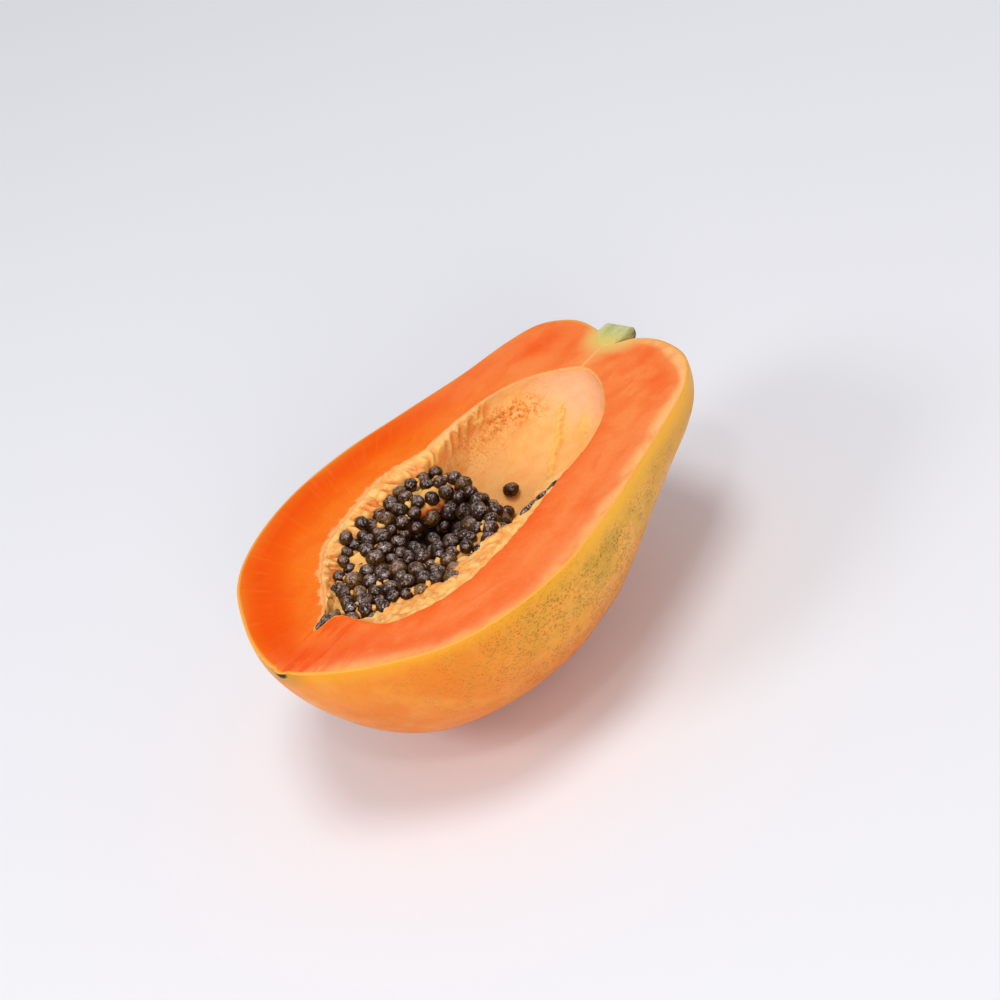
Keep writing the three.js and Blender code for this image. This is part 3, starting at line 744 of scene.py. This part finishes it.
def rind_surface(fraction, round_):
    """The rind with its slow waves and shallow dents, flat where it rests."""
    turn = np.pi * round_
    points = rind_points(station(fraction), turn)
    wave = waves(points, RIND_WAVE, 1) * smoothstep(-points[:, 2], 0.5, 6)
    points += wave[:, None] * np.stack([np.zeros_like(turn), np.cos(turn), -np.sin(turn)], -1)
    points[:, 2] = np.where(round_ * (1 - round_) < 1e-9, -EDGE, points[:, 2])
    points[:, 2] = np.maximum(points[:, 2], FLAT)
    return points, {"core_gap": FAR_GAP}


def plane_noise(x, y, seed):
    """Smooth noise over a plane, with features about 1 across."""
    return perlin(np.stack([x, y, np.zeros_like(x)], -1), 1.0, seed)


def curd(x, y, seed):
    """Soft lumps with creases between them: their height, and how near a crease a place is."""
    from_crease = np.abs(plane_noise(x, y, seed))
    return smoothstep(from_crease, 0.0, 0.32), 1 - smoothstep(from_crease, 0.02, 0.11)


def pleats(points, far):
    """Soft lumps of the bank below the +Y rim, and the cracks that open towards the seeds."""
    x, under = points[:, 0], -points[:, 2]
    wander = PLEATS["wander"] * plane_noise(x / 6, under / 5, 3)
    across = (x + wander - 0.6 * under) / PLEATS["pitch"]
    lump, crease = curd(1.25 * across, under / 6.5, 4)
    fine, _ = curd(2.9 * across, under / 2.6, 6)
    crack = 1 - smoothstep(np.abs(plane_noise(across, under / 30, 5)), 0.0, 0.15)
    crack = np.maximum(crack, 0.8 * crease) * stretch(under, *PLEATS["cracked"])
    bank = far * stretch(x, *PLEATS["along"])
    lumps = PLEATS["height"] * (lump + 0.35 * fine - 0.6) * smoothstep(under, 0.2, 1.4)
    return bank * (lumps - PLEATS["deep"] * crack), bank * crack


def tufts(points, far):
    """Short slanting tufts along the +Y rim, past the seeds, and the hollows between them."""
    x, under = points[:, 0], -points[:, 2]
    there = far * stretch(x, *TUFTS["along"]) * stretch(under, *TUFTS["under"])
    across = (x + TUFTS["slant"] * under) / TUFTS["pitch"]
    tuft = smoothstep(plane_noise(across, under / TUFTS["long"], 21), -0.15, 0.35)
    tuft *= smoothstep(perlin(points, 9.0, 22), -0.55, 0.0)
    return there * tuft, there * (1 - tuft)


def crumbs(points, far):
    """Crumbs on the bare +Y wall, and how crumbly it is: most of all towards the neck."""
    x, under = points[:, 0], -points[:, 2]
    crumbly = stretch(x, *CRUMBS["along"]) + CRUMBS["few"] * stretch(x, *CRUMBS["few_along"])
    crumbly *= far * stretch(under, *CRUMBS["under"])
    lumps = 1 - smoothstep(cell_distance(points, CRUMBS["size"], 1), 0.15, 0.62)
    return crumbly * lumps * smoothstep(perlin(points, 6.0, 5), -0.3, 0.25), crumbly


def raised_streaks(points):
    """Streaks that run up to the neck and a patch beside them: their height, and how yellow."""
    x, y = points[:, 0], points[:, 1]
    yellow = mound(x, y, PATCH["at"], PATCH["reach"])
    height = PATCH["height"] * yellow
    for streak in STREAKS:
        at_x, at_y = streak["at"]
        bend = streak["wander"] * perlin(points, streak["bends"], streak["seed"])
        middle = at_y + streak["slope"] * (x - at_x) + bend
        there = swell(y, middle, streak["reach"]) * stretch(x, *streak["along"])
        height = height + streak["height"] * there
        yellow = yellow + streak["yellow"] * there
    return height * (0.6 + 0.9 * curd(x / 2.6, y / 1.8, 26)[0]), yellow


def shelf_lumps(points):
    """Lumps of the shelf on the -Y side, and the creases between them."""
    x, y, under = points[:, 0], points[:, 1], -points[:, 2]
    there = smoothstep(-y, *SHELF_LUMPS["across"]) * smoothstep(under, *SHELF_LUMPS["under"])
    there *= 1 - smoothstep(x, *SHELF_LUMPS["fades"])
    lump, crease = curd(x / 7.0, y / 5.0 + 40, 7)
    fine, _ = curd(x / 2.6, y / 2.6, 8)
    height = SHELF_LUMPS["height"] * lump + SHELF_LUMPS["fine"] * fine - SHELF_LUMPS["drop"]
    return there * (height + SHELF_LUMPS["uneven"] * perlin(points, 9.0, 9)), there * crease


def lining_surface(fraction, round_):
    """The cavity wall with its pleats, tufts, crumbs, streaks and pulpy shelf."""
    # Rows crowd towards the +Y rim, where the pleats are.
    turn = np.pi * (round_ + LINING_CROWDING * (round_ ** 2 - round_))
    points = cavity_points(station(fraction), turn)
    x, y, under = points[:, 0], points[:, 1], -points[:, 2]
    far = smoothstep(y, *FAR_SIDE)
    pleat, crack = pleats(points, far)
    tuft, between = tufts(points, far)
    crumb, crumbly = crumbs(points, far)
    streak, yellow = raised_streaks(points)
    shelf, crease = shelf_lumps(points)
    rise = pleat + TUFTS["height"] * tuft + CRUMBS["height"] * crumb + streak + shelf
    uneven = perlin(points, LINING_UNEVEN["size"], 8) * smoothstep(under, 0.5, 3)
    rise += LINING_UNEVEN["height"] * uneven
    ragged = perlin(points, RAGGED_RIM["size"], 9) * (1 - smoothstep(under, 0, RAGGED_RIM["under"]))
    rise += RAGGED_RIM["height"] * ragged * stretch(x, *RAGGED_RIM["along"])
    facing = np.stack([np.zeros_like(turn), -np.cos(turn), np.sin(turn)], -1)
    points += rise[:, None] * facing
    on_rim = round_ * (1 - round_) < 1e-9
    points[:, 2] = np.where(on_rim, -CAVITY_EDGE, np.minimum(points[:, 2], -CAVITY_EDGE))
    # Where the orange with painted shade goes: the cracks, between the tufts and in the shelf's creases.
    hollow = crack + TUFTS["hollow"] * between + SHELF_LUMPS["hollow"] * crease
    yellow = np.clip(tuft + yellow, 0, 1)
    return points, {"skin_gap": FAR_GAP, "hollow": hollow, "yellow": yellow, "crumbly": crumbly}


def face_surface(side, fraction, across):
    """The cut face down one side, from the rind's rim at 0 to the cavity's at 1."""
    edge = np.full_like(fraction, 0.0 if side > 0 else 1.0)
    outer, inner = rind_surface(fraction, edge)[0], lining_surface(fraction, edge)[0]
    outer[:, 2] = inner[:, 2] = 0
    wide = np.linalg.norm(inner - outer, axis=1)
    # Rows crowd into the rounded edges.
    share = across - FACE_CROWDING * np.sin(2 * np.pi * across)
    points = outer + (inner - outer) * share[:, None]
    from_skin, from_core = wide * share, wide * (1 - share)
    inside = smoothstep(from_skin, 0, 3) * smoothstep(from_core, 0, 3)
    points[:, 2] = waves(points, FACE_WAVE, 11) * inside
    for gap, round_edge in ((from_skin, EDGE), (from_core, CAVITY_EDGE)):
        near = np.clip(1 - gap / (1.6 * round_edge), 0, 1)
        points[:, 2] -= round_edge * (1 - np.sqrt(1 - near ** 2))
    return points, {"skin_gap": from_skin, "core_gap": from_core, "around": fraction * AROUND}


def make_fruit():
    """The half: rind, cut face down both sides, and lining, closed where their rims meet."""
    bm = started("skin_gap", "core_gap", "around", "hollow", "yellow", "crumbly")
    lay_grid(bm, COLUMNS, RIND_ROWS, rind_surface)
    lay_grid(bm, COLUMNS, LINING_ROWS, lining_surface, 2)
    for side in (1, -1):
        lay_grid(bm, COLUMNS, FACE_ROWS, lambda s, q: face_surface(side, s, q), 1)
    bmesh.ops.remove_doubles(bm, verts=bm.verts, dist=MERGED)
    bmesh.ops.dissolve_degenerate(bm, edges=bm.edges, dist=SLIVER)
    finished(bm, "papaya_half", (RIND, FLESH, LINING), "flesh", "fruit")


# ---- The seeds ----
# A seed is a list: x, y, z, radius and the number of its draws.

def far_margin(x):
    """Bare pulp between the seeds and the +Y rim."""
    tip, bulb = FAR_MARGIN["tip"], FAR_MARGIN["bulb"]
    return tip + (bulb - tip) * float(smoothstep(x, *FAR_MARGIN["grows"]))


def farthest(seed):
    """The farthest from the middle of the cavity that the middle of a seed may lie."""
    x, y, _, radius, _ = seed
    width = cavity_width(x, y)
    if y > 0:
        return width - radius - far_margin(x)
    return width - max(radius + HEAP_CLEARANCE, float(shelf_width(x, width)) + SHELF_CLEARANCE)


def draw_in(seed):
    most = max(0.0, farthest(seed))
    seed[1] = min(max(seed[1], -most), most)


def has_place(seed, lowered):
    """Whether the cavity is deep enough for the seed, and the pulp isn't left bare there."""
    x, y = seed[:2]
    deep = wall_depth(x, y, cavity_width(x, y))
    bare = any(math.hypot(x - a, y - b) < reach for a, b, reach, _ in BARE)
    return deep >= SEED_ROOM - (heap_top(x, y) - lowered) and not bare


def heap_lattice(lowered, first, pitch):
    """Jittered rows of seeds over the heap, `lowered` under its top, pushed apart."""
    seeds = []
    row_step = pitch * math.sqrt(3) / 2
    n = first
    for row in range(math.ceil(HEAP["wide"] / row_step)):
        y = row * row_step + HEAP["side"]
        x = HEAP["from"] + (row % 2) * pitch / 2
        while x < HEAP["to"]:
            n += 1
            place_x = x + (draw(n) - 0.5) * SEED_JITTER
            place_y = y + (draw(n + 0.3) - 0.5) * SEED_JITTER
            radius = SEED_RADIUS * (1 + SEED_SPREAD * (2 * draw(n + 0.6) - 1))
            seed = [place_x, place_y, 0.0, radius, n]
            if farthest(seed) >= 0 and abs(place_y) <= farthest(seed) + SEED_PITCH / 2:
                draw_in(seed)
                if has_place(seed, lowered):
                    seeds.append(seed)
            x += pitch / math.hypot(1, heap_top(x, y) - heap_top(x + 1, y))
    for _ in range(SETTLING["rounds"]):
        settle(seeds, lowered)
        push_apart(seeds)
        for seed in seeds:
            draw_in(seed)
    settle(seeds, lowered)
    return seeds, n


def push_apart(seeds):
    """Moves each two seeds that overlap a little way apart."""
    for a in seeds:
        for b in seeds:
            gap = math.dist(a[:3], b[:3])
            wanted = a[3] + b[3]
            if a is b or gap > wanted:
                continue
            push = SETTLING["push"] * (wanted - gap) / gap
            for axis in (0, 1):
                shove = (b[axis] - a[axis]) * push
                a[axis] -= shove
                b[axis] += shove


def settle(seeds, lowered):
    for seed in seeds:
        seed[2] = heap_top(seed[0], seed[1]) - lowered + SEED_HEAVE * (draw(seed[4] + 0.8) - 0.5)


def floor_height(x, y):
    return -float(wall_depth(x, y, cavity_width(x, y)))


def hollow_gap(x, y, reach):
    """Distance from the middle of the heap's hollow, as a share of its reach."""
    return np.hypot((x - HOLLOW["at"][0]) / reach[0], (y - HOLLOW["at"][1]) / reach[1])


def sunken(seed):
    """How far into the hollow or under the others a seed of the heap lies, 0 to 1: the share of painted
    shade it gets.
    """
    x, y, z, radius, _ = seed
    if x > SUNKEN["not_past"]:
        return 0.0
    in_hollow = 1 - smoothstep(hollow_gap(x, y, HOLLOW["seeds"]), *SUNKEN["edge"])
    under = max(0.0, (heap_top(x, y) - z - radius) / SUNKEN["under"])
    return min(1.0, SUNKEN["hollow"] * in_hollow + under)


def add_seed(bm, seed, fineness):
    """One seed: longer than thick, dimpled, its wet skin drawn into wrinkles."""
    x, y, z, radius, n = seed
    made = bmesh.ops.create_icosphere(bm, subdivisions=fineness, radius=1.0)["verts"]
    unit = np.array([vert.co for vert in made])
    dimple = perlin(unit, SEED_DIMPLE["size"], n)
    combed = unit * SEED_WRINKLE["drawn"] + SEED_WRINKLE["wander"] * dimple[:, None]
    wrinkle = 1 - np.abs(perlin(combed, SEED_WRINKLE["size"], n + 0.5)) * SEED_WRINKLE["narrow"]
    wrinkle = SEED_WRINKLE["deep"] * np.clip(wrinkle, 0, 1) ** 2
    if radius < CUT_SEED["under"]:
        # Cut seeds get a little of the painted shade.
        shape, painted_shade = CUT_SEED["shape"], 0.1
        turned = Matrix.Rotation(CUT_SEED["turn"], 4, "Z")
    else:
        shape, painted_shade = SEED_SHAPE, sunken(seed)
        turned = Matrix.Rotation(2 * math.pi * draw(n + 1.4), 4, "Z")
        turned @= Matrix.Rotation(2 * math.pi * draw(n + 1.1), 4, "X")
    shape = Matrix.Diagonal((*shape, 1))
    place = Matrix.Translation((x, y, z)) @ turned @ shape @ Matrix.Scale(radius, 4)
    outward = turned @ shape.inverted()
    # How each place faces the light, for the painted reflection, glints and amber.
    toward_light = np.array([(outward @ vert.co).normalized().dot(LIGHT_WAY) for vert in made])
    for vert, factor in zip(made, 1 + SEED_DIMPLE["deep"] * dimple - wrinkle):
        vert.co = place @ (vert.co * factor)
    paint(bm, made, "tint", draw(n + 2.2) ** 2)
    # Painted shade, and how each place faces the light for the painted reflection, glints and amber.
    paint(bm, made, "painted_shade", painted_shade)
    paint(bm, made, "faces_light", np.clip(0.5 + 0.5 * (toward_light + 0.25 * dimple), 0, 1))


def make_seed_piece(name, seeds, fineness, node):
    bm = started("tint", "painted_shade", "faces_light")
    for seed in seeds:
        add_seed(bm, seed, fineness)
    finished(bm, name, (SEED,), "seed", node)


def make_seeds():
    """The heap in three pieces and the loose seeds. Gives back the heap's upper seeds."""
    upper, n = heap_lattice(0.0, 0, SEED_PITCH)
    proud = BANK_SEED_PROUD * SEED_RADIUS
    placed = [(x, y, floor_height(x, y) + proud, SEED_RADIUS) for x, y in BANK_SEEDS]
    for n, (x, y, z, radius) in enumerate(placed + TIP_SEEDS + RIM_SEEDS, n + 1):
        upper.append([x, y, z, radius, n])
    pitch = SEED_PITCH * UNDER_LAYER["pitch"]
    lower, _ = heap_lattice(UNDER_LAYER["lowered"], UNDER_LAYER["draws"], pitch)
    half = sorted(upper)[len(upper) // 2][0]
    tip, crest = [s for s in upper if s[0] < half], [s for s in upper if s[0] >= half]
    for seed in upper + lower:
        seed[1] += float(lean(seed[0]))
    make_seed_piece("seed_heap_tip", tip, SEED_FINENESS["top"], "seeds")
    make_seed_piece("seed_heap_crest", crest, SEED_FINENESS["top"], "seeds")
    make_seed_piece("seed_heap_under", lower, SEED_FINENESS["under"], "seeds")
    for number, (x, y) in enumerate(LOOSE_SEEDS, 1):
        seed = [x, y, floor_height(x, y) + SEED_RADIUS, SEED_RADIUS, number + LOOSE_DRAWS]
        make_seed_piece(f"loose_seed_{number}_wet", [seed], SEED_FINENESS["loose"], f"loose_seed_{number}")
    return upper


# ---- The pulp ----

def bed_surface(fraction, across):
    """The top of the pulp: high by the wall and in the bare places, low round the hollow."""
    x = BED["from"] + (HEAP["to"] - BED["from"]) * fraction
    v = 2 * across - 1
    width = np.array([cavity_width(a, b) for a, b in zip(x, v)])
    y = v * (width - BED["inset"])
    gap = width - np.abs(y) - pulp_width(x, y, width)
    top = np.array([heap_top(a, b) for a, b in zip(x, y)])
    place = np.stack([x, y, 0 * x], -1)
    lump = perlin(place, BED["lump_size"], 14)
    from_hollow = hollow_gap(x, y, HOLLOW["pulp"])
    from_hollow = from_hollow + BED["ragged"] * perlin(place, BED["ragged_size"], 15)
    deep = 1 - smoothstep(from_hollow, *BED["hollow_edge"])
    edge = 1 - smoothstep(gap, *BED["by_wall"])
    shown = np.zeros_like(x)
    for bare_x, bare_y, reach, paleness in BARE:
        spot = mound(x, y, (bare_x, bare_y), (0.8 * reach, 0.8 * reach))
        shown = np.maximum(shown, spot * paleness)
    pale = np.clip(np.maximum(np.maximum(edge, 1 - deep), shown), 0, 1)
    z = top - BED["sink"] + BED["rise"] * pale * (0.7 + 0.8 * lump)
    z = z + BED["lump"] * lump + BED["shown"] * shown
    floor = -wall_depth(x, y, width)
    # Painted shade on the pulp: most in the hollow, less by the wall and in the bare places.
    pulp_shade = np.clip(deep - 0.6 * edge - shown + 0.12 * (1 - edge), 0, 1)
    return np.stack([x, y + lean(x), np.maximum(z, floor - BED["bite"])], -1), {"pulp_shade": pulp_shade}


def add_shreds(bm, seeds):
    """Shreds of pulp that cling between pairs of seeds outside the hollow."""
    pairs = ((one, other) for k, one in enumerate(seeds) for other in seeds[:k])
    (nearest, widest), (least, spread) = SHREDS["apart"], SHREDS["size"]
    for one, other in pairs:
        middle = (Vector(one[:3]) + Vector(other[:3])) / 2
        in_hollow = hollow_gap(middle.x, middle.y, HOLLOW["shreds"]) < 1
        n = one[4] + 0.37 * other[4]
        apart = math.dist(one[:3], other[:3])
        if in_hollow or not nearest < apart < widest or draw(n + 5.1) > SHREDS["share"]:
            continue
        size = least + spread * draw(n + 5.5)
        shred = bmesh.ops.create_icosphere(bm, subdivisions=2, radius=size)["verts"]
        at = middle + Vector((0, 0, SHREDS["up"][0] + SHREDS["up"][1] * draw(n + 5.7)))
        for vert in shred:
            vert.co = at + vert.co * (1 + SHREDS["ragged"] * noise.noise(vert.co * 0.9 + at))
        paint(bm, shred, "pulp_shade", 0.12 * draw(n + 5.9))


def make_pulp(seeds):
    """The wet bed that the seeds sit in, closed underneath inside the flesh, and its shreds."""
    bm = started("pulp_shade")
    lay_grid(bm, BED_COLUMNS, BED_ROWS, bed_surface)
    under = bmesh.ops.extrude_face_region(bm, geom=bm.faces[:])["geom"]
    for vert in [item for item in under if isinstance(item, bmesh.types.BMVert)]:
        vert.co.z = floor_height(vert.co.x, vert.co.y - float(lean(vert.co.x))) - BED["under"]
    add_shreds(bm, seeds)
    finished(bm, "seed_bed", (PULP,), "flesh", "seeds")


# ---- The stalk ----

def make_stalk():
    """The stump, swelling where it grows from the fruit, sliced by the same cut."""
    bm = bmesh.new()
    verts = [bm.verts.new((x, out, 0)) for x, out in STUMP_PROFILE]
    edges = [bm.edges.new(pair) for pair in zip(verts, verts[1:])]
    bmesh.ops.subdivide_edges(bm, edges=edges[1:-1], cuts=3)
    bmesh.ops.spin(bm, geom=bm.verts[:] + bm.edges[:], axis=(1, 0, 0), cent=(0, 0, 0), dvec=(0, 0, 0),
                   angle=2 * math.pi, steps=72, use_merge=True, use_duplicate=False)
    bmesh.ops.remove_doubles(bm, verts=bm.verts, dist=SLIVER)
    for vert in bm.verts:
        around = math.atan2(vert.co.z, vert.co.y)
        rib = STUMP_RIBS["height"] * math.cos(STUMP_RIBS["count"] * around + STUMP_RIBS["phase"])
        rib += 1 + STUMP_RIBS["rough"] * noise.noise(vert.co / STUMP_RIBS["rough_size"])
        vert.co.y = vert.co.y * rib + STUMP["shift"]
        vert.co.z *= STUMP["flattened"] * rib
    whole = bm.verts[:] + bm.edges[:] + bm.faces[:]
    # The stalk stands a little above the flesh.
    bmesh.ops.bisect_plane(bm, geom=whole, plane_co=(0, 0, STUMP["proud"]), plane_no=(0, 0, 1),
                           clear_outer=True)
    rim = [an_edge for an_edge in bm.edges if an_edge.is_boundary]
    cap = bmesh.ops.contextual_create(bm, geom=rim)["faces"]
    bmesh.ops.inset_region(bm, faces=cap, thickness=STUMP["lip"], depth=0.0)
    bmesh.ops.triangulate(bm, faces=cap)
    finished(bm, "stalk_stump", (STALK,), "stalk", "stem_stub")


# ---- Camera, floor and light ----

def set_camera():
    camera = added("Camera", bpy.data.cameras.new("Camera"))
    camera.data.lens = CAMERA["lens"]
    camera.data.sensor_width = 36.0
    camera.data.sensor_fit = "HORIZONTAL"
    camera.data.clip_start = 0.01
    forward, up = Vector(CAMERA["forward"]).normalized(), Vector(CAMERA["up"])
    right = forward.cross(up).normalized()
    turned = Matrix((right, right.cross(forward), -forward)).transposed().to_4x4()
    camera.matrix_world = Matrix.Translation(TO_PART @ Vector(CAMERA["at"])) @ turned
    bpy.context.scene.camera = camera


def softbox(name, at, size, power, colour):
    lamp = bpy.data.lights.new(name, "AREA")
    lamp.shape = "DISK"
    lamp.size = size
    lamp.energy = power
    lamp.color = colour
    box = added(name, lamp)
    box.location = at
    box.rotation_euler = (Vector(at) - LIT_AT).to_track_quat("Z", "Y").to_euler()


def set_studio():
    world = bpy.data.worlds.new("Studio")
    world.use_nodes = True
    sky = world.node_tree.nodes["Background"]
    sky.inputs["Color"].default_value = srgb(244, 246, 252)
    sky.inputs["Strength"].default_value = SKY
    bpy.context.scene.world = world
    for name, settings in LIGHTS.items():
        softbox(name, *settings)
    floor = Finish("studio floor", Roughness=0.7)
    floor.start(floor.grain(400.0), (238, 238, 243), (241, 241, 245))
    bm = bmesh.new()
    bmesh.ops.create_grid(bm, x_segments=8, y_segments=8, size=FLOOR_SIZE)
    ground = meshed(bm, "Floor", floor.wear())
    bpy.context.scene.view_settings.view_transform = "Standard"


# ---- Assembly ----

set_camera()
set_studio()
RIND, FLESH, LINING = rind_finish(), flesh_finish(), lining_finish()
SEED, PULP, STALK = seed_finish(), pulp_finish(), stalk_finish()
make_fruit()
make_pulp(make_seeds())
make_stalk()
